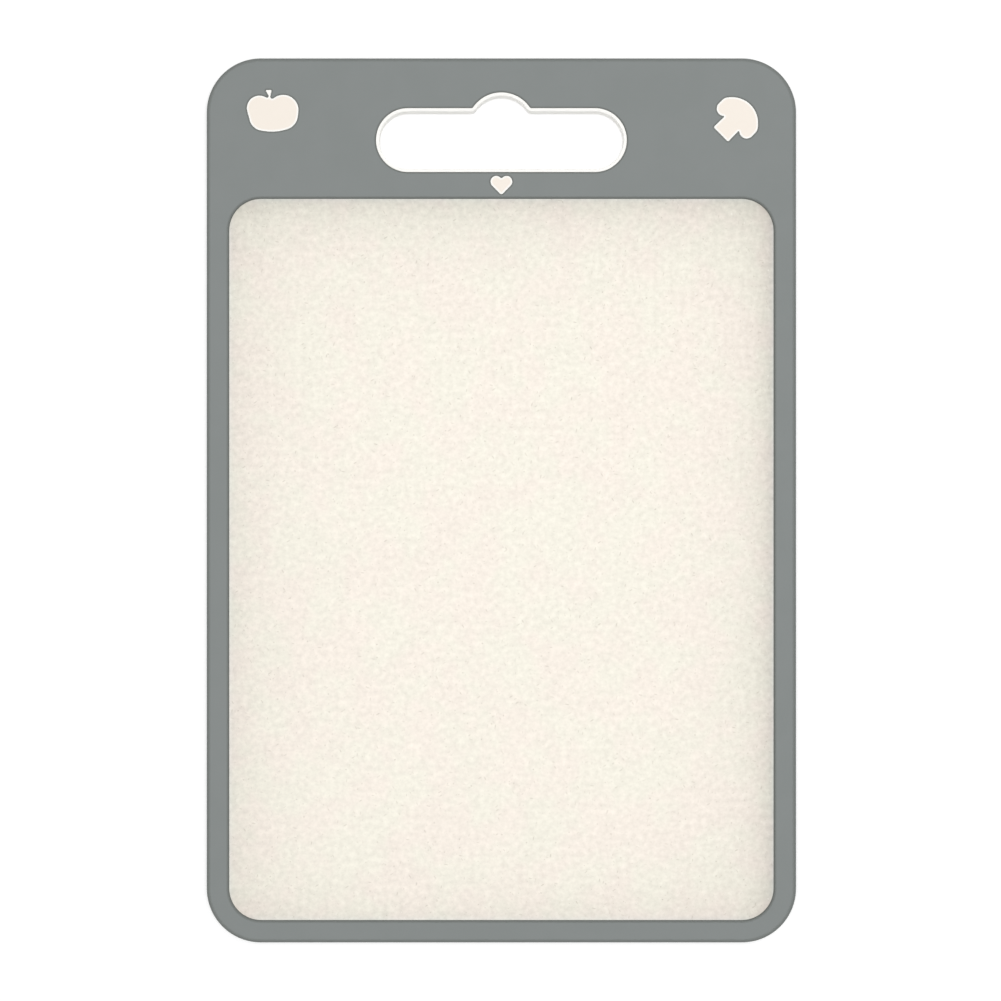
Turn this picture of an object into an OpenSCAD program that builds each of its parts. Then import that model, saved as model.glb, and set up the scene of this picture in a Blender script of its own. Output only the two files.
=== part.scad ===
// Flexible cutting mat for the kitchen, made in two shots of plastic. A cream cutting panel and a
// grey soft grip frame moulded over its border and its handle end. Both faces are alike.
// It lies flat on the XY plane, handle end towards +Y, with the origin under its middle.

/* [Mat] */
// Width over the side rails
mat_w = 240; // [200:1:320]
// Length from the foot rail to the handle end
mat_len = 360; // [300:1:480]
// Thickness over the grip frame
mat_t = 5; // [4.2:0.1:8]
// Radius of the four outer corners
corner_r = 22; // [14:0.5:32]
// Round-over of the outer edge, on both faces
edge_r = 1.5; // [0.5:0.1:2]

/* [Grip frame] */
// Width of the side and foot rails
rail_w = 9.25; // [8:0.25:14]
// Width of the head band, which holds the hand slot
head_w = 57.3; // [56:0.1:80]
// Radius of the window's four corners
window_r = 13; // [6:0.5:20]
// Round-over of the frame's edge along the window
window_round = 0.8; // [0.2:0.1:0.8]
// Solid width of frame outside the web of the panel
bead_w = 3.75; // [3:0.25:5]

/* [Cutting panel] */
// Depth of the panel's faces below the frame's faces
panel_drop = 0.8; // [0.4:0.1:1.2]
// Thickness of the hidden web that carries the frame
web_t = 1.8; // [1:0.1:2.4]
// Diameter of the web's holes, where the two faces of the frame join
rivet_d = 3; // [1.5:0.1:3.6]
// Spacing of those holes
rivet_pitch = 15; // [8:0.5:40]

/* [Hand slot] */
// Length of the slot over its cream lip
slot_w = 102; // [70:1:120]
// Height of the slot over its lip
slot_h = 26; // [22:0.5:30]
// Distance of the slot's centre line from the handle end
slot_y = 33.5; // [32:0.5:36]
// Width of the lip on each face
lip_w = 1.4; // [0.8:0.1:3]
// Round-over of the lip's edge at the hole, on both faces
lip_round = 0.5; // [0.1:0.1:0.7]
// Radius of the hanging notch over the lip
notch_r = 14; // [11:0.5:17]
// Height of the notch's centre over the slot's centre line
notch_up = 5.4; // [3:0.1:7]
// Radius that blends the notch into the slot
notch_blend = 1; // [0.5:0.1:3]

/* [Motifs] */
// Width of the apple
apple_w = 21; // [14:0.5:24]
// Distance of the apple's centre from the side edge
apple_x = 27.2; // [24:0.1:32]
// Distance of the apple's centre from the handle end
apple_y = 21.6; // [20:0.1:34]
// Width of the mushroom's cap
mushroom_w = 18.8; // [14:0.1:22]
// Distance of the mushroom's centre from the side edge
mushroom_x = 24.4; // [22:0.1:32]
// Distance of the mushroom's centre from the handle end
mushroom_y = 24.8; // [22:0.1:34]
// Angle by which the mushroom leans to the right
mushroom_lean = 45; // [0:1:90]
// Width of the heart
heart_w = 8.9; // [5:0.1:9.5]
// Distance of the heart's centre from the handle end
heart_y = 51.8; // [51.4:0.1:52.2]

/* [Hidden] */
$fn = 96;
// Cutters run past both faces by this much
over = 1;
// Largest turn between two points of a motif's arcs
arc_step = 12;
// Points of a belt that lie closer than this count as one
point_gap = 0.02;
// A turn this much under 0 still counts as none
turn_gap = 0.01;

// The window that the rails and the head band leave open
window_w = mat_w - 2 * rail_w;
window_l = mat_len - rail_w - head_w;
window_y = (rail_w - head_w) / 2;
window_top = mat_len / 2 - head_w;

// Holes of the web run along the middle of its part under a rail
rivet_in = (bead_w + rail_w) / 2;
rivet_r = rivet_d / 2;
side_run = mat_len - 2 * corner_r;
end_run = mat_w - 2 * corner_r;

// The slot's round ends, and the notch's blend, which touches the slot's upper edge and the notch
slot_end = (slot_w - slot_h) / 2;
blend_y = slot_h / 2 + notch_blend;
blend_x = sqrt(pow(notch_r + notch_blend, 2) - pow(blend_y - notch_up, 2));

// Each motif is a belt round circles [x, y, radius]. Negative radii bend it inwards. The mushroom
// and the heart are alike on both sides, so only their right half is given.
APPLE_W = 21;
APPLE = [
    [4.1, 0.3, 6.2],
    [-0.35, 5.75, -0.8],
    [-1.05, 8.1, 0.4],
    [-2.55, 8.1, 0.4],
    [-2.45, 5.95, -0.6],
    [-5.6, 1.1, 5.1],
    [-4.1, -2.5, 5.6],
    [-0.6, 11.5, 20],
    [3.85, -1.55, 6.25]
];
MUSHROOM_W = 18.8;
MUSHROOM_RIGHT = [
    [3.6, -8.5, 0.6],
    [4.4, -3.25, -0.3],
    [6.5, -0.7, 3],
    [5.6, 1.2, 3.9]
];
MUSHROOM_CROWN = [[0, -2.45, 10.5]];
HEART_W = 8.9;
HEART_TIP = [[0, -2.8, 0.9]];
HEART_RIGHT = [[2.1, 1.4, 2.35]];
HEART_DIP = [[0, 3.5, -0.6]];

// The same circles on the left side, in reverse order
function mirrored(circles) =
    [for (i = [len(circles) - 1:-1:0]) [-circles[i].x, circles[i].y, circles[i].z]];

// Direction of the outward normal where the belt runs straight from circle a to circle b
function link_angle(a, b) =
    let(d = [b.x - a.x, b.y - a.y])
    atan2(d.y, d.x) - acos(max(-1, min(1, (a.z - b.z) / norm(d))));

// An angle brought to the range from a hair under 0 to 360
function one_turn(angle) = angle - 360 * floor((angle + turn_gap) / 360);

// Points of one circle's stretch of the belt
function belt_arc(before, circle, after) =
    let(
        start = link_angle(before, circle),
        end = link_angle(circle, after),
        turn = circle.z > 0 ? one_turn(end - start) : -one_turn(start - end),
        steps = max(1, ceil(abs(turn) / arc_step))
    )
    [for (k = [0:steps]) let(a = start + turn * k / steps)
        [circle.x + circle.z * cos(a), circle.y + circle.z * sin(a)]];

// Outline of a belt that runs anticlockwise round the circles, without double points
function belt(circles) =
    let(
        n = len(circles),
        points = [for (i = [0:n - 1])
            each belt_arc(circles[(i + n - 1) % n], circles[i], circles[(i + 1) % n])],
        m = len(points)
    )
    [for (i = [0:m - 1]) if (norm(points[i] - points[(i + 1) % m]) > point_gap) points[i]];

// Places at one pitch, centred on 0, that fill a run
function spread(run, pitch) =
    let(n = floor(run / pitch))
    [for (i = [0:n]) (i - n / 2) * pitch];

// Flat plate with round corners, centred on the origin
module plate(w, l, r, t) {
    linear_extrude(t) {
        square([w - 2 * r, l], center = true);
        square([w, l - 2 * r], center = true);
        for (x = [-1, 1], y = [-1, 1])
            translate([x * (w / 2 - r), y * (l / 2 - r)]) circle(r);
    }
}

// Section of a rail whose edge at x = 0 is rounded on both faces. The rail lies on the side of -X.
module rounded_rail(depth, t, r) {
    translate([-depth, 0]) square([depth - r, t]);
    translate([-r, r]) square([r, t - 2 * r]);
    for (flip = [0, 1]) translate([0, flip * t]) mirror([0, flip]) intersection() {
        translate([-r, r]) circle(r);
        translate([-r, 0]) square(r);
    }
}

// Runs a section round a rectangle with round corners. The section's +X points outwards.
module run_round(w, l, r) {
    for (turn = [0, 180]) rotate(turn) {
        translate([w / 2, l / 2 - r, 0]) rotate([90, 0, 0]) linear_extrude(l - 2 * r) children();
        translate([r - w / 2, l / 2, 0]) rotate([90, 0, 90]) linear_extrude(w - 2 * r) children();
        translate([w / 2 - r, l / 2 - r, 0]) rotate_extrude(angle = 90) translate([r, 0]) children();
        translate([r - w / 2, l / 2 - r, 0]) rotate(90) rotate_extrude(angle = 90)
            translate([r, 0]) children();
    }
}

// Area of the hand slot with its hanging notch, drawn in by an inset
module slot_area(inset) {
    r = slot_h / 2 - inset;
    blend_r = notch_blend + inset;
    square([2 * slot_end, 2 * r], center = true);
    for (side = [-1, 1]) translate([side * slot_end, 0]) circle(r);
    translate([0, notch_up]) circle(notch_r - inset);
    for (side = [-1, 1]) difference() {
        polygon([[0, notch_up], [side * blend_x, blend_y], [side * blend_x, 0]]);
        translate([side * blend_x, blend_y]) circle(blend_r);
    }
}

module apple_area() {
    polygon(belt(APPLE * apple_w / APPLE_W));
}

module mushroom_area() {
    right = MUSHROOM_RIGHT;
    rotate(-mushroom_lean)
        polygon(belt(concat(right, MUSHROOM_CROWN, mirrored(right)) * mushroom_w / MUSHROOM_W));
}

module heart_area() {
    right = HEART_RIGHT;
    polygon(belt(concat(HEART_TIP, right, HEART_DIP, mirrored(right)) * heart_w / HEART_W));
}

// The three motifs of the head band, from one height to another
module motifs(from, to) {
    translate([0, mat_len / 2, from]) linear_extrude(to - from) {
        translate([apple_x - mat_w / 2, -apple_y]) apple_area();
        translate([mat_w / 2 - mushroom_x, -mushroom_y]) mushroom_area();
        translate([0, -heart_y]) heart_area();
    }
}

// The hand slot, drawn in by an inset, from one height to another
module slot(inset, from, to) {
    translate([0, mat_len / 2 - slot_y, from]) linear_extrude(to - from) slot_area(inset);
}

// Runs a section along the edge of the hand slot, drawn in by an inset. The section's +X points
// away from the hole.
module run_slot(inset) {
    r = slot_h / 2 - inset;
    blend_r = notch_blend + inset;
    notch_start = atan2(blend_y - notch_up, blend_x);
    translate([0, mat_len / 2 - slot_y, 0]) {
        translate([slot_end, -r, 0]) rotate([90, 0, -90]) linear_extrude(2 * slot_end) children();
        translate([0, notch_up, 0]) rotate(notch_start) rotate_extrude(angle = 180 - 2 * notch_start)
            translate([notch_r - inset, 0]) children();
        for (side = [0, 1]) mirror([side, 0, 0]) {
            translate([slot_end, 0, 0]) rotate(-90) rotate_extrude(angle = 180)
                translate([r, 0]) children();
            translate([blend_x, r, 0]) rotate([90, 0, 90]) linear_extrude(slot_end - blend_x)
                children();
            translate([blend_x, blend_y, 0]) rotate(180 + notch_start)
                rotate_extrude(angle = 90 - notch_start)
                translate([blend_r, 0]) mirror([1, 0]) children();
        }
    }
}

// The hole through the slot's lip, drawn in by an inset, with its edge rounded on both faces. The
// band that runs round it makes its wall, and the core inside the band is a little smaller.
module slot_hole(inset, r) {
    slot(inset + r / 2, -over, mat_t + over);
    run_slot(inset) difference() {
        translate([-r, -over]) square([2 * r, mat_t + 2 * over]);
        translate([0, r]) square([2 * r, mat_t - 2 * r]);
        for (z = [r, mat_t - r]) translate([r, z]) circle(r);
    }
}

// One hole of the web
module rivet_hole(x, y) {
    translate([x, y, 0]) cylinder(mat_t, r = rivet_r);
}

// Holes along the rails, round the corners and along both edges of the head band
module rivet_holes() {
    side_x = mat_w / 2 - rivet_in;
    end_y = mat_len / 2 - rivet_in;
    band_y = window_top + rail_w - rivet_in;
    corner_in = (corner_r - rivet_in) * sin(45);
    for (y = spread(side_run, rivet_pitch), side = [-1, 1]) rivet_hole(side * side_x, y);
    for (x = spread(end_run, rivet_pitch)) {
        rivet_hole(x, end_y);
        rivet_hole(x, -end_y);
        if (abs(x) > heart_w / 2 + rivet_d) rivet_hole(x, band_y);
    }
    for (x = [-1, 1], y = [-1, 1])
        rivet_hole(x * (end_run / 2 + corner_in), y * (side_run / 2 + corner_in));
}

// Thin web inside the frame, with the holes that lock the frame on
module web() {
    difference() {
        translate([0, 0, (mat_t - web_t) / 2])
            plate(mat_w - 2 * bead_w, mat_len - 2 * bead_w, corner_r - bead_w, web_t);
        rivet_holes();
    }
}

// Outer body of the frame, before the panel takes its place in it
module frame_body() {
    rim = rail_w / 2;
    lap = rail_w / 3;
    run_round(mat_w, mat_len, corner_r) rounded_rail(rim, mat_t, edge_r);
    translate([0, window_y, 0]) run_round(window_w, window_l, window_r)
        mirror([1, 0]) rounded_rail(rim, mat_t, window_round);
    difference() {
        plate(mat_w - 2 * lap, mat_len - 2 * lap, corner_r - lap, mat_t);
        translate([0, window_y, -over])
            plate(window_w + 2 * lap, window_l + 2 * lap, window_r + lap, mat_t + 2 * over);
    }
}

// Cream cutting panel in one piece with its web, the slot's lip and the three motifs
module cutting_panel() {
    color("#f8f0e2") difference() {
        union() {
            translate([0, window_y, panel_drop])
                plate(window_w, window_l, window_r, mat_t - 2 * panel_drop);
            web();
            slot(0, 0, mat_t);
            motifs(0, mat_t);
        }
        slot_hole(lip_w, lip_round);
    }
}

// Grey soft frame, moulded over the panel's web and flush with the lip and the motifs
module grip_frame() {
    color("#8a8e8d") difference() {
        frame_body();
        web();
        slot(0, -over, mat_t + over);
        motifs(-over, mat_t + over);
    }
}

cutting_panel();
grip_frame();
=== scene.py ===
"""Looks of the flexible cutting mat: a cream panel in a grey soft frame, seen from straight above.

Outlines and sections are in millimetres. MM turns them into Blender's metres.
"""

import math

import bpy
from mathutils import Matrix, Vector
from mathutils.geometry import delaunay_2d_cdt


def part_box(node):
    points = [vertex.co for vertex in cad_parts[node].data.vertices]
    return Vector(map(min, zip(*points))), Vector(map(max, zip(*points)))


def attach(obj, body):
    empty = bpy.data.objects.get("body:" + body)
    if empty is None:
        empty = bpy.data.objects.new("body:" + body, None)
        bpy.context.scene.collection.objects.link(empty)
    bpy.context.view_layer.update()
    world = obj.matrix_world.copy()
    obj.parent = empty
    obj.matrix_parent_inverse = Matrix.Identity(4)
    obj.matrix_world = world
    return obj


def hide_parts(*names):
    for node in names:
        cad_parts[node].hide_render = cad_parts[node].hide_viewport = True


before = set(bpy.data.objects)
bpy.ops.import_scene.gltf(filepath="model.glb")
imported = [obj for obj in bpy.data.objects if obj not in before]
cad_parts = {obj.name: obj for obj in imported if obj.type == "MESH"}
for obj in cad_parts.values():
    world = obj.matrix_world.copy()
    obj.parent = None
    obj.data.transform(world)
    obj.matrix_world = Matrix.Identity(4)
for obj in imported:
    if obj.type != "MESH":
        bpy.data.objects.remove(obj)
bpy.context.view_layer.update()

MM = 0.001

# Outer size of the mat, from the frame
mat_low, mat_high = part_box("grip_frame")
MAT_W = (mat_high.x - mat_low.x) / MM
MAT_L = (mat_high.y - mat_low.y) / MM
MAT_T = mat_high.z / MM

# Sizes of the mat's details
CORNER_R = 22
EDGE_R = 1.5
RAIL_W = 9.25
HEAD_W = 57.3
WINDOW_R = 13
WINDOW_ROUND = 0.8
BEAD_W = 3.75
PANEL_DROP = 0.8
WEB_T = 1.8
RIVET_R = 1.5
RIVET_PITCH = 15
SLOT_W = 102
SLOT_H = 26
SLOT_Y = 33.5
LIP_W = 1.4
NOTCH_R = 14
NOTCH_UP = 5.4
NOTCH_BLEND = 1

# Small round-overs: the cream's edge beside the grey, the grey's edge along the lip and along the
# motifs, and the lip's edge at the hole
SEAM_ROUND = 0.15
GREY_SEAM_ROUND = 0.5
GREY_MOTIF_ROUND = 0.25
SLOT_ROUND = 0.5

# Heights of the hidden web and of the panel's face
WEB_TOP = (MAT_T + WEB_T) / 2
WEB_BOTTOM = (MAT_T - WEB_T) / 2
PANEL_TOP = MAT_T - PANEL_DROP

# The window that the rails and the head band leave open
WINDOW_W = MAT_W - 2 * RAIL_W
WINDOW_L = MAT_L - RAIL_W - HEAD_W
WINDOW_Y = (RAIL_W - HEAD_W) / 2
WINDOW_TOP = MAT_L / 2 - HEAD_W

# Circles (x, y, radius) that a belt runs round to draw a motif. Negative radii bend it inwards.
APPLE = [
    (4.1, 0.3, 6.2), (-0.35, 5.75, -0.8), (-1.05, 8.1, 0.4), (-2.55, 8.1, 0.4),
    (-2.45, 5.95, -0.6), (-5.6, 1.1, 5.1), (-4.1, -2.5, 5.6), (-0.6, 11.5, 20),
    (3.85, -1.55, 6.25),
]
MUSHROOM_RIGHT = [(3.6, -8.5, 0.6), (4.4, -3.25, -0.3), (6.5, -0.7, 3), (5.6, 1.2, 3.9)]
MUSHROOM_CROWN = [(0, -2.45, 10.5)]
HEART_TIP = [(0, -2.8, 0.9)]
HEART_RIGHT = [(2.1, 1.4, 2.35)]
HEART_DIP = [(0, 3.5, -0.6)]
APPLE_AT = (27.2 - MAT_W / 2, MAT_L / 2 - 21.6)
MUSHROOM_AT = (MAT_W / 2 - 24.4, MAT_L / 2 - 24.8)
MUSHROOM_LEAN = -45
HEART_AT = (0, MAT_L / 2 - 51.8)
HEART_W = 8.9

# Painted shade makes the grey plastic darker along its edges, and a painted highlight makes the cream
# plastic paler along its own and over the slot's lip. Rims say how much so where a round-over starts
# on the flat face, on the round-over and on the wall. The painted dark rim fades out over DARK_W of
# the flat face.
SEAM_RIMS = (0.6, 1, 1)
OUTER_RIMS = (0.4, 0.75, 0.3)
FULL_RIMS = (1, 1, 1)
DARK_W = 0.4

# The motifs carry a painted highlight along their edge, and the grey round them carries painted
# shade: how far in the painted pale rim is full, where it ends, where the painted dark rim ends, and
# the spacing of the points along them
PALE_FULL = 0.4
PALE_END = 0.95
DARK_END = 0.8
RIM_STEP = 0.4

# Largest turn between two points of an arc, and the steps of a quarter round-over
ARC_STEP = math.radians(3)
MOTIF_STEP = math.radians(7.5)
ROUND_STEPS = 6


def mirrored(circles):
    """The same circles on the left side, in reverse order."""
    return [(-x, y, r) for x, y, r in reversed(circles)]


def moved(circles, at, turn=0):
    """Circles turned by some degrees about the origin and then moved."""
    c, s = math.cos(math.radians(turn)), math.sin(math.radians(turn))
    return [(at[0] + c * x - s * y, at[1] + s * x + c * y, r) for x, y, r in circles]


def link_angle(a, b):
    """Direction of the outward normal where a belt runs straight from circle a to circle b."""
    dx, dy = b[0] - a[0], b[1] - a[1]
    ratio = (a[2] - b[2]) / math.hypot(dx, dy)
    return math.atan2(dy, dx) - math.acos(max(-1.0, min(1.0, ratio)))


def one_turn(angle):
    """An angle brought to the range from a hair under 0 to a full turn."""
    hair = 1e-4
    return (angle + hair) % (2 * math.pi) - hair


def belt(circles, step=ARC_STEP):
    """Outline of a belt round circles, anticlockwise, as (x, y, normal x, normal y)."""
    points = []
    n = len(circles)
    for i, (x, y, r) in enumerate(circles):
        start = link_angle(circles[i - 1], circles[i])
        end = link_angle(circles[i], circles[(i + 1) % n])
        turn = one_turn(end - start) if r > 0 else -one_turn(start - end)
        steps = max(1, math.ceil(abs(turn) / step))
        for k in range(steps + 1):
            a = start + turn * k / steps
            points.append((x + r * math.cos(a), y + r * math.sin(a), math.cos(a), math.sin(a)))
    close = 0.01
    return [p for p, q in zip(points, points[1:] + points[:1])
            if math.hypot(p[0] - q[0], p[1] - q[1]) > close]


def round_rectangle(w, l, r, y=0):
    """Outline of a rectangle with round corners, centred at height y on the long axis."""
    x, top, bottom = w / 2 - r, y + l / 2 - r, y - l / 2 + r
    return belt([(x, bottom, r), (x, top, r), (-x, top, r), (-x, bottom, r)])


def slot_outline(inset):
    """Outline of the hand slot with its hanging notch, drawn in by an inset."""
    end_x = (SLOT_W - SLOT_H) / 2
    end_r = SLOT_H / 2
    blend_y = end_r + NOTCH_BLEND
    blend_x = math.sqrt((NOTCH_R + NOTCH_BLEND) ** 2 - (blend_y - NOTCH_UP) ** 2)
    right = [(end_x, 0, end_r), (blend_x, blend_y, -NOTCH_BLEND)]
    circles = right + [(0, NOTCH_UP, NOTCH_R)] + mirrored(right)
    at = (0, MAT_L / 2 - SLOT_Y)
    return belt(moved([(x, y, r - inset) for x, y, r in circles], at))


def circle_outline(x, y, r, steps=24):
    """Outline of a round hole."""
    turns = [2 * math.pi * k / steps for k in range(steps)]
    return [(x + r * math.cos(a), y + r * math.sin(a), math.cos(a), math.sin(a)) for a in turns]


def spread(run, pitch):
    """Places at one pitch, centred on 0, that fill a run."""
    n = math.floor(run / pitch)
    return [(i - n / 2) * pitch for i in range(n + 1)]


def rivet_places():
    """Centres of the web's holes, along the rails, round the corners and along the head band."""
    rivet_in = (BEAD_W + RAIL_W) / 2
    side_run, end_run = MAT_L - 2 * CORNER_R, MAT_W - 2 * CORNER_R
    side_x, end_y = MAT_W / 2 - rivet_in, MAT_L / 2 - rivet_in
    band_y = WINDOW_TOP + RAIL_W - rivet_in
    corner_in = (CORNER_R - rivet_in) * math.sin(math.radians(45))
    places = [(s * side_x, y) for y in spread(side_run, RIVET_PITCH) for s in (-1, 1)]
    for x in spread(end_run, RIVET_PITCH):
        places += [(x, end_y), (x, -end_y)]
        if abs(x) > HEART_W / 2 + 2 * RIVET_R:
            places.append((x, band_y))
    places += [(sx * (end_run / 2 + corner_in), sy * (side_run / 2 + corner_in))
               for sx in (-1, 1) for sy in (-1, 1)]
    return places


def top_round(z, r, rims):
    """Section of a round-over, from a flat face at height z down to the wall. Its points are
    (distance out of the wall, height, direction of the normal in degrees above level, rim)."""
    start, full, wall = rims
    points = []
    for k in range(ROUND_STEPS + 1):
        down = k / ROUND_STEPS
        a = math.radians(90 * (1 - down))
        thirds = 3 * down
        rim = full + (start - full) * max(0, 1 - thirds) + (wall - full) * max(0, thirds - 2)
        points.append((r * math.cos(a) - r, z - r + r * math.sin(a), math.degrees(a), rim))
    return points


def dark_round(z, r, rims):
    """The same section, started further in on the flat face, where the painted dark rim fades out."""
    return [(-r - DARK_W, z, 90, 0)] + top_round(z, r, rims)


def flipped(section):
    """The section on the mat's other face."""
    return [(out, MAT_T - z, -a, rim) for out, z, a, rim in reversed(section)]


def filled(outline, gap):
    """The outline with more points on it, so that none lie further apart than the gap."""
    points = []
    for p, q in zip(outline, outline[1:] + outline[:1]):
        n = math.ceil(math.hypot(q[0] - p[0], q[1] - p[1]) / gap)
        points += [tuple(a + (b - a) * k / n for a, b in zip(p, q)) for k in range(n)]
    return points


def joined(triangles, borders, start):
    """The triangles that are reached from the start edges without crossing a border."""
    borders = {frozenset(edge) for edge in borders}
    sides = [[frozenset(pair) for pair in ((a, b), (b, c), (c, a))] for a, b, c in triangles]
    owners = {}
    for t, edges in enumerate(sides):
        for edge in edges:
            owners.setdefault(edge, []).append(t)
    todo = [t for edge in start for t in owners[frozenset(edge)]]
    reached = set(todo)
    while todo:
        for edge in sides[todo.pop()]:
            if edge not in borders:
                fresh = [t for t in owners[edge] if t not in reached]
                reached.update(fresh)
                todo += fresh
    return [triangles[t] for t in sorted(reached)]


class Shell:
    """One closed mesh, gathered from walls and flat faces, with the true normal at each corner."""

    def __init__(self):
        self.points = []
        self.rims = []
        self.faces = []
        self.normals = []

    def ring(self, outline, out, z, rim):
        """Points round an outline, moved out of it by some distance. Returns their numbers."""
        first = len(self.points)
        self.points += [(x + out * nx, y + out * ny, z) for x, y, nx, ny in outline]
        self.rims += [rim] * len(outline)
        return list(range(first, len(self.points)))

    def wall(self, outline, section, side):
        """A wall along an outline. side is 1 where the material is inside the outline and -1
        where it is outside. Returns the wall's upper and lower ring of points."""
        first = upper = self.ring(outline, side * section[0][0], section[0][1], section[0][3])
        n = len(outline)
        for above, below in zip(section, section[1:]):
            lower = self.ring(outline, side * below[0], below[1], below[3])
            for i in range(n):
                j = (i + 1) % n
                corners = [(upper[i], i, above), (lower[i], i, below),
                           (lower[j], j, below), (upper[j], j, above)]
                if side < 0:
                    corners.reverse()
                self.faces.append([c[0] for c in corners])
                self.normals.append([self.tilted(outline[c[1]], side, c[2][2]) for c in corners])
            upper = lower
        return first, upper

    def loose_points(self, outline, out, z, rim):
        """Points beside an outline, which a flat face takes up. They keep clear of its corners."""
        clear = 0.98 * abs(out)
        kept = [(x, y, nx, ny) for x, y, nx, ny in outline
                if min(math.hypot(x + out * nx - q[0], y + out * ny - q[1])
                       for q in outline) > clear]
        return self.ring(kept, out, z, rim)

    @staticmethod
    def tilted(point, side, degrees):
        """The normal at a point of an outline, at that many degrees above level."""
        c, s = math.cos(math.radians(degrees)), math.sin(math.radians(degrees))
        return (side * c * point[2], side * c * point[3], s)

    def flat(self, rings, up, loose=()):
        """A flat face inside the first ring, with the other rings as its holes."""
        order = [p for ring in rings for p in ring] + list(loose)
        places = [Vector(self.points[p][:2]) for p in order]
        borders, first = [], 0
        for ring in rings:
            n = len(ring)
            borders += [(first + i, first + (i + 1) % n) for i in range(n)]
            first += n
        inside, near = 1, 1e-6
        found = delaunay_2d_cdt(places, borders, [], inside, near)
        same_as = [inputs[0] for inputs in found[3]]
        triangles = [[same_as[k] for k in triangle] for triangle in found[2]]
        for a, b, c in joined(triangles, borders, borders[:len(rings[0])]):
            corners = [order[a], order[b], order[c]]
            (ax, ay, _), (bx, by, _), (cx, cy, _) = [self.points[k] for k in corners]
            area = (bx - ax) * (cy - ay) - (by - ay) * (cx - ax)
            if area * up < 0:
                corners.reverse()
            self.faces.append(corners)
            self.normals.append([(0, 0, up)] * 3)

    def piece(self, name, material):
        """The finished mesh as an object."""
        mesh = bpy.data.meshes.new(name)
        mesh.from_pydata([Vector(p) * MM for p in self.points], [], self.faces)
        mesh.validate()
        mesh.polygons.foreach_set("use_smooth", [True] * len(mesh.polygons))
        mesh.normals_split_custom_set([n for corners in self.normals for n in corners])
        # rim: the share of painted shade on the grey and of painted highlight on the cream at each
        # point
        mesh.attributes.new("rim", "FLOAT", "POINT").data.foreach_set("value", self.rims)
        mesh.materials.append(material)
        obj = bpy.data.objects.new(name, mesh)
        bpy.context.scene.collection.objects.link(obj)
        return obj


OUTER = round_rectangle(MAT_W, MAT_L, CORNER_R)
WINDOW = round_rectangle(WINDOW_W, WINDOW_L, WINDOW_R, WINDOW_Y)
WEB = round_rectangle(MAT_W - 2 * BEAD_W, MAT_L - 2 * BEAD_W, CORNER_R - BEAD_W)
SLOT = slot_outline(0)
SLOT_HOLE = slot_outline(LIP_W)
MUSHROOM = MUSHROOM_RIGHT + MUSHROOM_CROWN + mirrored(MUSHROOM_RIGHT)
HEART = HEART_TIP + HEART_RIGHT + HEART_DIP + mirrored(HEART_RIGHT)
MOTIFS = [filled(belt(circles, MOTIF_STEP), RIM_STEP) for circles in (
    moved(APPLE, APPLE_AT),
    moved(MUSHROOM, MUSHROOM_AT, MUSHROOM_LEAN),
    moved(HEART, HEART_AT),
)]
RIVETS = [circle_outline(x, y, RIVET_R) for x, y in rivet_places()]
WEB_EDGE = [(0, WEB_TOP, 0, 0), (0, WEB_BOTTOM, 0, 0)]


def split_wall(shell, outline, section, side):
    """A wall above the web and the same wall below it. Returns their rings, from top to bottom."""
    section = section + [(0, WEB_TOP, 0, section[-1][3])]
    return shell.wall(outline, section, side) + shell.wall(outline, flipped(section), side)


def make_grip_frame(material):
    """Grey frame: it wraps both faces and the edge, and its rivets run through the web's holes."""
    shell = Shell()
    outer_edge = dark_round(MAT_T, EDGE_R, OUTER_RIMS)
    outer = shell.wall(OUTER, outer_edge + flipped(outer_edge), 1)
    holes = [split_wall(shell, WINDOW, dark_round(MAT_T, WINDOW_ROUND, SEAM_RIMS), -1),
             split_wall(shell, SLOT, dark_round(MAT_T, GREY_SEAM_ROUND, SEAM_RIMS), -1)]
    loose = {MAT_T: [], 0: []}
    for outline in MOTIFS:
        edge = top_round(MAT_T, GREY_MOTIF_ROUND, FULL_RIMS)
        holes.append(split_wall(shell, outline, edge, -1))
        # Points where the painted shade round each motif ends
        for z, points in loose.items():
            points += shell.loose_points(outline, DARK_END, z, 0)
    pocket = shell.wall(WEB, WEB_EDGE, -1)
    rivets = [shell.wall(outline, WEB_EDGE, 1) for outline in RIVETS]
    shell.flat([outer[0]] + [h[0] for h in holes], 1, loose[MAT_T])
    shell.flat([pocket[0]] + [h[1] for h in holes] + [r[0] for r in rivets], -1)
    shell.flat([pocket[1]] + [h[2] for h in holes] + [r[1] for r in rivets], 1)
    shell.flat([outer[1]] + [h[3] for h in holes], -1, loose[0])
    return shell.piece("soft_grip_frame", material)


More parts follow.
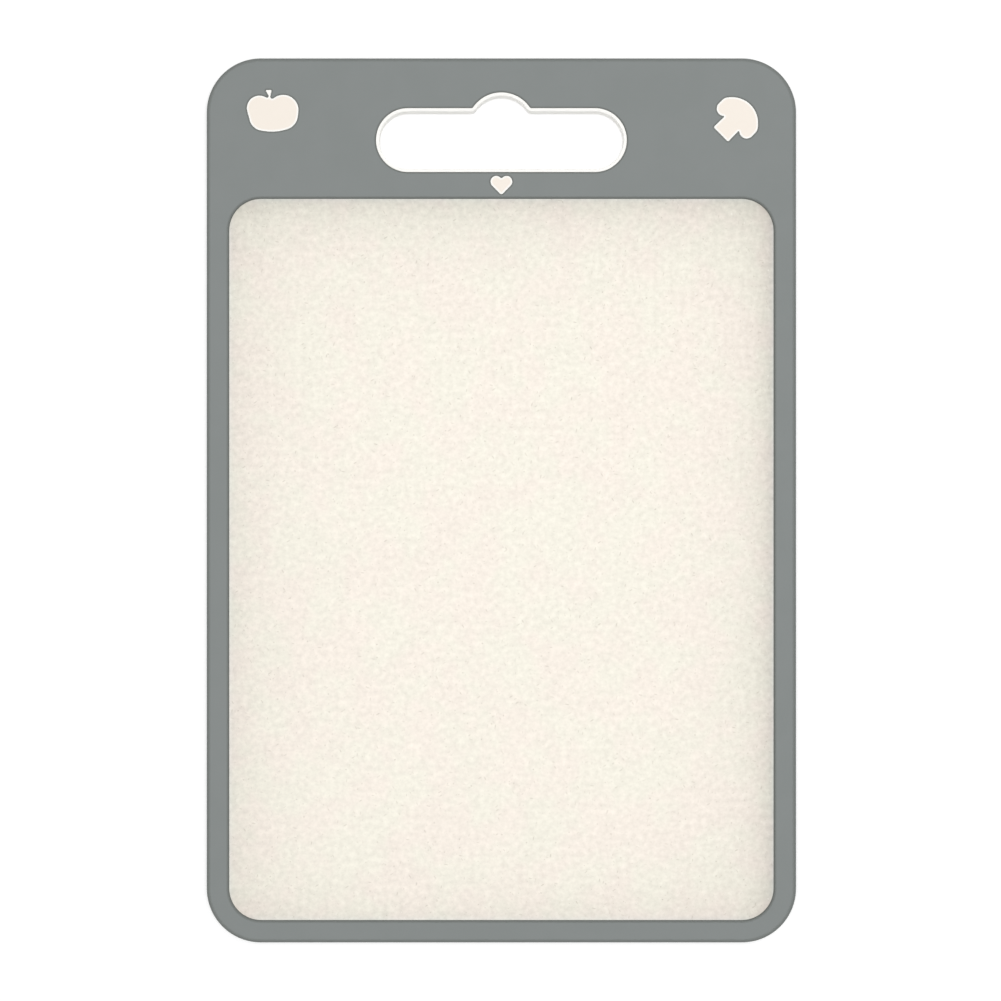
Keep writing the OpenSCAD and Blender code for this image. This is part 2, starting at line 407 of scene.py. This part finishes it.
def make_panel(material):
    """Cream panel with its web, the slot's lip and the motifs, in one piece."""
    shell = Shell()
    rim = shell.wall(WEB, WEB_EDGE, 1)
    hole_edge = top_round(MAT_T, SLOT_ROUND, FULL_RIMS)
    hole = shell.wall(SLOT_HOLE, hole_edge + flipped(hole_edge), -1)
    slab = split_wall(shell, WINDOW, [(0, PANEL_TOP, 0, 0)], 1)
    seam_edge = top_round(MAT_T, SEAM_ROUND, FULL_RIMS)
    lip = split_wall(shell, SLOT, seam_edge, 1)
    motifs = [split_wall(shell, outline, seam_edge, 1) for outline in MOTIFS]
    rivets = [shell.wall(outline, WEB_EDGE, -1) for outline in RIVETS]
    raised = [slab, lip] + motifs
    shell.flat([slab[0]], 1)
    shell.flat([lip[0], hole[0]], 1)
    shell.flat([rim[0]] + [r[1] for r in raised] + [r[0] for r in rivets], 1)
    shell.flat([rim[1]] + [r[2] for r in raised] + [r[1] for r in rivets], -1)
    shell.flat([lip[3], hole[1]], -1)
    shell.flat([slab[3]], -1)
    # Points where the painted highlight round each motif is full and where it ends
    for motif, outline in zip(motifs, MOTIFS):
        for ring, z, up in ((motif[0], MAT_T, 1), (motif[3], 0, -1)):
            pale = shell.loose_points(outline, -PALE_FULL, z, 1)
            plain = shell.loose_points(outline, -PALE_END, z, 0)
            shell.flat([ring], up, pale + plain)
    return shell.piece("cream_cutting_panel", material)


def linear(red, green, blue):
    """A colour of 0 to 255 as Blender's linear values."""
    def one(value):
        v = value / 255
        return v / 12.92 if v <= 0.04045 else ((v + 0.055) / 1.055) ** 2.4
    return (one(red), one(green), one(blue), 1)


class Nodes:
    """Short ways to add and join the nodes of a material."""

    def __init__(self, name):
        self.material = bpy.data.materials.new(name)
        self.material.use_nodes = True
        self.tree = self.material.node_tree
        self.tree.nodes.clear()
        self.output = self.tree.nodes.new("ShaderNodeOutputMaterial")

    def add(self, kind, inputs=None, **settings):
        node = self.tree.nodes.new(kind)
        for name, value in settings.items():
            setattr(node, name, value)
        for name, value in (inputs or {}).items():
            if isinstance(value, bpy.types.NodeSocket):
                self.link(value, node.inputs[name])
            else:
                node.inputs[name].default_value = value
        return node

    def link(self, source, target):
        self.tree.links.new(source, target)

    def math(self, operation, a, b=0.0, c=0.0, clamp=False):
        return self.add("ShaderNodeMath", {0: a, 1: b, 2: c}, operation=operation,
                        use_clamp=clamp).outputs[0]

    def ramp(self, value, low, high, to_low=0.0, to_high=1.0):
        """A value from low to high brought smoothly to another range."""
        inputs = {"Value": value, "From Min": low, "From Max": high,
                  "To Min": to_low, "To Max": to_high}
        return self.add("ShaderNodeMapRange", inputs,
                        interpolation_type="SMOOTHSTEP").outputs["Result"]

    def noise(self, place, grain, detail=2.0, rough=0.5):
        """Noise with grains of that many millimetres, about 0 to 1."""
        inputs = {"Vector": place, "Scale": 1 / (grain * MM), "Detail": detail, "Roughness": rough}
        return self.add("ShaderNodeTexNoise", inputs).outputs[0]

    def mix(self, factor, a, b):
        """Two colours mixed. The node has them on its sockets 6 and 7."""
        return self.add("ShaderNodeMix", {0: factor, 6: a, 7: b}, data_type="RGBA").outputs[2]

    def plastic(self, colour, specular, rough, grain, strength):
        """The material finished as a plastic whose grain stands up by BUMP_DEPTH."""
        shader = self.add("ShaderNodeBsdfPrincipled", {
            "Base Color": colour, "Specular IOR Level": specular, "Roughness": rough})
        bump = self.add("ShaderNodeBump", {
            "Height": grain, "Strength": strength, "Distance": BUMP_DEPTH * MM})
        self.link(bump.outputs[0], shader.inputs["Normal"])
        return self.finish(shader.outputs[0])

    def finish(self, shader):
        self.link(shader, self.output.inputs["Surface"])
        return self.material


# Height of the grain (mm), the middle of a noise, and the range that holds most of its values
BUMP_DEPTH = 0.02
NOISE_MIDDLE = 0.5
NOISE_LOW, NOISE_HIGH = 0.3, 0.7

# The grey plastic's tones, the last of them painted shade along its edges
GREY_DARK = linear(128, 133, 131.5)
GREY_LIGHT = linear(131.5, 136, 135)
GREY_PAINTED_SHADE = linear(109, 113, 110)

# Sizes (mm) of its clouds, its satin grain and the grain that stands up, and its surface
GREY_CLOUDS = 14
GREY_GRAIN = 0.5
GREY_BUMP = 0.22
GREY_BUMP_STRENGTH = 0.25
GREY_SPECULAR = 0.3
GREY_ROUGH = (0.56, 0.68)


def soft_grey():
    """Soft matte overmoulding: even grey with painted shade along its edges, a fine satin grain and
    barely uneven gloss.
    """
    n = Nodes("grey_soft_plastic")
    place = n.add("ShaderNodeTexCoord").outputs["Object"]
    clouds = n.noise(place, GREY_CLOUDS, 3)
    grain = n.noise(place, GREY_GRAIN, 3, 0.6)
    half = 0.5
    tone = n.math("ADD", n.ramp(clouds, NOISE_LOW, NOISE_HIGH, -half, half),
                  n.ramp(grain, NOISE_LOW, NOISE_HIGH, -half, half))
    face = n.mix(n.math("MULTIPLY_ADD", tone, half, half, True), GREY_DARK, GREY_LIGHT)
    # rim: how much painted shade darkens the grey along its edges
    rim = n.add("ShaderNodeAttribute", attribute_name="rim").outputs["Fac"]
    rough = n.ramp(grain, NOISE_LOW, NOISE_HIGH, *GREY_ROUGH)
    return n.plastic(n.mix(rim, face, GREY_PAINTED_SHADE), GREY_SPECULAR, rough,
                     n.noise(place, GREY_BUMP), GREY_BUMP_STRENGTH)


# Painted shade makes the panel's face a little darker towards the rails: each side's outward
# direction (x, y) and its distance from the middle of the mat, then how much painted shade the face
# takes over each of EDGE_DEPTHS, where the negative first ones paint a pale line right at the rail.
# Right at the rail, over COOL_DEPTH, COOL_TINT paints it a little paler and cooler.
PAINTED_EDGE_SHADE = [
    ((-1, 0), WINDOW_W / 2, (-0.07, 0.04, 0.125)),
    ((1, 0), WINDOW_W / 2, (-0.1, 0.21, 0.12)),
    ((0, 1), WINDOW_TOP, (-0.09, 0.13, 0.15)),
    ((0, -1), MAT_L / 2 - RAIL_W, (-0.04, 0.07, 0.08)),
]
EDGE_DEPTHS = (0.5, 5, 18)
COOL_DEPTH = 1
COOL_TINT = (-0.012, 0.028, 0.075)


def paint_edge_shade(n, place):
    """How much painted shade darkens the panel's face and how much the painted pale line cools it, by
    the distances to the rails.
    """
    darker, cooler = 0.0, 0.0
    for (out_x, out_y), reach, strengths in PAINTED_EDGE_SHADE:
        outward = n.add("ShaderNodeVectorMath", {0: place, 1: (out_x, out_y, 0)},
                        operation="DOT_PRODUCT").outputs["Value"]
        inward = n.math("MAXIMUM", n.math("SUBTRACT", reach * MM, outward), 0.0)
        for strength, depth in zip(strengths, EDGE_DEPTHS):
            fall = n.math("EXPONENT", n.math("DIVIDE", inward, -depth * MM))
            darker = n.math("MULTIPLY_ADD", fall, strength, darker)
        fall = n.math("EXPONENT", n.math("DIVIDE", inward, -COOL_DEPTH * MM))
        cooler = n.math("ADD", fall, cooler)
    return darker, cooler


# Each fibre lies in a cell of its own, this many lengths long and this many widths wide
CELL_LENGTHS = 2.6
CELL_WIDTHS = 4


def fibres(n, place, turn, length, width, share):
    """Thin short fibres that lie at one angle, in a share of their cells. Returns how strongly
    they show: 0 outside a fibre, and inside it a tone that differs from fibre to fibre."""
    seed = math.radians(turn)
    turned = n.add("ShaderNodeMapping", {"Vector": place, "Rotation": (0, 0, seed),
                                         "Location": (seed, 0, 0)}).outputs[0]
    cell_l, cell_w = CELL_LENGTHS * length * MM, CELL_WIDTHS * width * MM
    cells = n.add("ShaderNodeMapping", {"Vector": turned, "Scale": (1 / cell_l, 1 / cell_w, 0)})
    spots = n.add("ShaderNodeTexVoronoi", {"Vector": cells.outputs[0], "Scale": 1.0,
                                           "Randomness": 1.0}, voronoi_dimensions="2D")
    pick = n.add("ShaderNodeSeparateColor", {0: spots.outputs["Color"]})
    half = n.math("MULTIPLY", pick.outputs[1], 0.5 / CELL_LENGTHS)
    edge, core = 1.0, 0.5
    inside = n.ramp(n.math("DIVIDE", spots.outputs["Distance"], half), edge, core)
    kept = n.math("LESS_THAN", pick.outputs[0], share)
    tone = n.math("POWER", pick.outputs[2], 2.0)
    return n.math("MULTIPLY", n.math("MULTIPLY", inside, kept), tone)


# The cream plastic's tones: two that its face drifts between, a painted highlight along its raised
# edges and over the slot's lip, and those of its straw and of its pale fibres. Away from the face it
# is as dark as OFF_FACE says.
CREAM_WARM = linear(250.5, 241.5, 230.5)
CREAM_GREEN = linear(248, 244, 230.5)
CREAM_PAINTED_HIGHLIGHT = linear(255, 254, 250)
STRAW_TONE = linear(166, 157, 142)
PALE_TONE = linear(255, 251, 243)
OFF_FACE = 0.965

# Sizes (mm) and strengths of its mottling and its clouds, the size of its drift from tone to tone
# and the range of noise that it spans, the size and strength of its grain, and its surface
MOTTLE_SIZE = 2.2
MOTTLE_STRENGTH = 0.31
CLOUD_SIZE = 7
CLOUD_STRENGTH = 0.07
DRIFT_SIZE = 18
DRIFT_RANGE = (0.36, 0.64)
CREAM_BUMP = 0.3
CREAM_BUMP_STRENGTH = 0.2
CREAM_SPECULAR = 0.25
CREAM_ROUGH = (0.62, 0.5)

# Fibres: the angles that they lie at, their length and width (mm) and the share of filled cells
LONG_STRAW = ((12, 58, 103, 149), (2.2, 0.42, 0.25))
SHORT_STRAW = ((33, 121), (0.8, 0.65, 0.3))
STRAW_STRENGTH = 0.32
PALE_TURN = 77
PALE_SIZES = (1.0, 0.6, 0.35)
PALE_STRENGTH = 0.45


def cream_plastic():
    """Cream plastic filled with milled straw: fine mottling, thin tan fibres and a matte grain, with
    painted shade towards the rails and a painted highlight along its raised edges.
    """
    n = Nodes("cream_plastic")
    place = n.add("ShaderNodeTexCoord").outputs["Object"]
    where = n.add("ShaderNodeSeparateXYZ", {0: place})
    face = n.math("LESS_THAN", where.outputs[1], WINDOW_TOP * MM)

    mottle = n.noise(place, MOTTLE_SIZE, 3, 0.58)
    clouds = n.noise(place, CLOUD_SIZE)
    value = 1.0
    for noise, strength in ((mottle, MOTTLE_STRENGTH), (clouds, CLOUD_STRENGTH)):
        value = n.math("MULTIPLY_ADD", n.math("SUBTRACT", noise, NOISE_MIDDLE), strength, value)
    # Painted shade towards the rails, and a painted pale, cool line right at them
    darker, cooler = paint_edge_shade(n, place)
    value = n.math("SUBTRACT", value, darker)
    value = n.add("ShaderNodeMix", {0: face, 2: OFF_FACE, 3: value}).outputs[0]

    drift = n.ramp(n.noise(place, DRIFT_SIZE, 2.5, 0.6), *DRIFT_RANGE)
    cream = n.mix(n.math("MULTIPLY", drift, face), CREAM_WARM, CREAM_GREEN)
    cool = n.add("ShaderNodeVectorMath", {0: n.math("MULTIPLY", cooler, face), 1: COOL_TINT,
                                          2: value}, operation="MULTIPLY_ADD")
    shaded = n.add("ShaderNodeVectorMath", {0: cream, 1: cool.outputs[0]}, operation="MULTIPLY")

    straw = 0.0
    for turns, sizes in (LONG_STRAW, SHORT_STRAW):
        for turn in turns:
            straw = n.math("MAXIMUM", straw, fibres(n, place, turn, *sizes))
    pale = fibres(n, place, PALE_TURN, *PALE_SIZES)
    flecked = shaded.outputs[0]
    for kind, strength, tone in ((straw, STRAW_STRENGTH, STRAW_TONE),
                                 (pale, PALE_STRENGTH, PALE_TONE)):
        shown = n.math("MULTIPLY", n.math("MULTIPLY", kind, face), strength)
        flecked = n.mix(shown, flecked, tone)

    # rim: where a painted highlight makes the lip, the hole's wall and the motifs' edges paler
    rim = n.add("ShaderNodeAttribute", attribute_name="rim").outputs["Fac"]
    rough = n.ramp(mottle, NOISE_LOW, NOISE_HIGH, *CREAM_ROUGH)
    return n.plastic(n.mix(rim, flecked, CREAM_PAINTED_HIGHLIGHT), CREAM_SPECULAR, rough,
                     n.noise(place, CREAM_BUMP), CREAM_BUMP_STRENGTH)


# The floor's own paint, the light that it adds where it is seen, and the distances (metres) over
# which it fades to plain white
FLOOR_PAINT = (0.88, 0.88, 0.88, 1)
FLOOR_LIFT = 0.24
FADE_START = 0.3
FADE_END = 0.8


def seen_ray(tree):
    """1 for a ray of the camera, a reflection or clear plastic, and 0 for one that carries light."""
    rays = tree.nodes.new("ShaderNodeLightPath").outputs
    seen = rays["Is Camera Ray"]
    for name in ("Is Glossy Ray", "Is Transmission Ray"):
        either = tree.nodes.new("ShaderNodeMath")
        either.operation = "MAXIMUM"
        tree.links.new(seen, either.inputs[0])
        tree.links.new(rays[name], either.inputs[1])
        seen = either.outputs[0]
    return seen


def floor_material():
    """White floor that shows as the plain background and keeps the mat's soft shadow."""
    n = Nodes("white_floor")
    seen = seen_ray(n.tree)
    paint = n.add("ShaderNodeBsdfDiffuse", {"Color": FLOOR_PAINT})
    lift = n.add("ShaderNodeEmission", {"Strength": n.math("MULTIPLY", seen, FLOOR_LIFT)})
    near = n.add("ShaderNodeAddShader", {0: paint.outputs[0], 1: lift.outputs[0]})
    far = n.add("ShaderNodeEmission", {"Strength": 1.0})
    place = n.add("ShaderNodeTexCoord").outputs["Object"]
    away = n.add("ShaderNodeVectorMath", {0: place}, operation="LENGTH").outputs["Value"]
    fade = n.math("MULTIPLY", n.ramp(away, FADE_START, FADE_END), seen)
    both = n.add("ShaderNodeMixShader", {0: fade, 1: near.outputs[0], 2: far.outputs[0]})
    return n.finish(both.outputs[0])


def make_floor():
    """Large plane just under the mat's rest face."""
    half, drop = 4.0, 0.05 * MM
    mesh = bpy.data.meshes.new("floor")
    corners = [(-half, -half, -drop), (half, -half, -drop), (half, half, -drop), (-half, half, -drop)]
    mesh.from_pydata(corners, [], [(0, 1, 2, 3)])
    mesh.materials.append(floor_material())
    floor = bpy.data.objects.new("floor", mesh)
    bpy.context.scene.collection.objects.link(floor)


def add_area_light(name, place, size, power):
    """A square soft light that looks at the mat's middle."""
    light = bpy.data.lights.new(name, "AREA")
    light.shape = "SQUARE"
    light.size = size
    light.energy = power
    obj = bpy.data.objects.new(name, light)
    obj.location = place
    obj.rotation_euler = Vector(place).to_track_quat("Z", "Y").to_euler()
    bpy.context.scene.collection.objects.link(obj)


def make_light():
    """Large soft light from above, a little of it from the upper right, and a white surround."""
    add_area_light("overhead", place=(0, 0, 2.5), size=2.0, power=40)
    add_area_light("key", place=(0.9, 0.9, 1.3), size=0.8, power=3.5)
    unseen_strength = 0.38
    world = bpy.data.worlds.new("surround")
    world.use_nodes = True
    bpy.context.scene.world = world
    tree = world.node_tree
    background = tree.nodes["Background"]
    background.inputs["Color"].default_value = (1, 1, 1, 1)
    strength = tree.nodes.new("ShaderNodeMapRange")
    strength.inputs["To Min"].default_value = unseen_strength
    tree.links.new(seen_ray(tree), strength.inputs["Value"])
    tree.links.new(strength.outputs["Result"], background.inputs["Strength"])


def make_camera():
    """Camera straight above the mat, with a long lens."""
    distance = 0.7
    pixels = 1001
    mat_width_px = 590.4
    mat_centre_px = (501.4, 500.42)
    per_pixel = MAT_W * MM / mat_width_px
    camera = bpy.data.cameras.new("camera")
    camera.type = "PERSP"
    camera.angle = 2 * math.atan(per_pixel * pixels / 2 / distance)
    obj = bpy.data.objects.new("camera", camera)
    aside = (pixels / 2 - mat_centre_px[0]) * per_pixel
    along = (mat_centre_px[1] - pixels / 2) * per_pixel
    obj.location = (aside, along, MAT_T * MM + distance)
    bpy.context.scene.collection.objects.link(obj)
    bpy.context.scene.camera = obj


grip = make_grip_frame(soft_grey())
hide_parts("grip_frame")
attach(grip, "root")

panel = make_panel(cream_plastic())
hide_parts("cutting_panel")
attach(panel, "root")

make_floor()
make_light()
make_camera()
bpy.context.scene.view_settings.view_transform = "Standard"
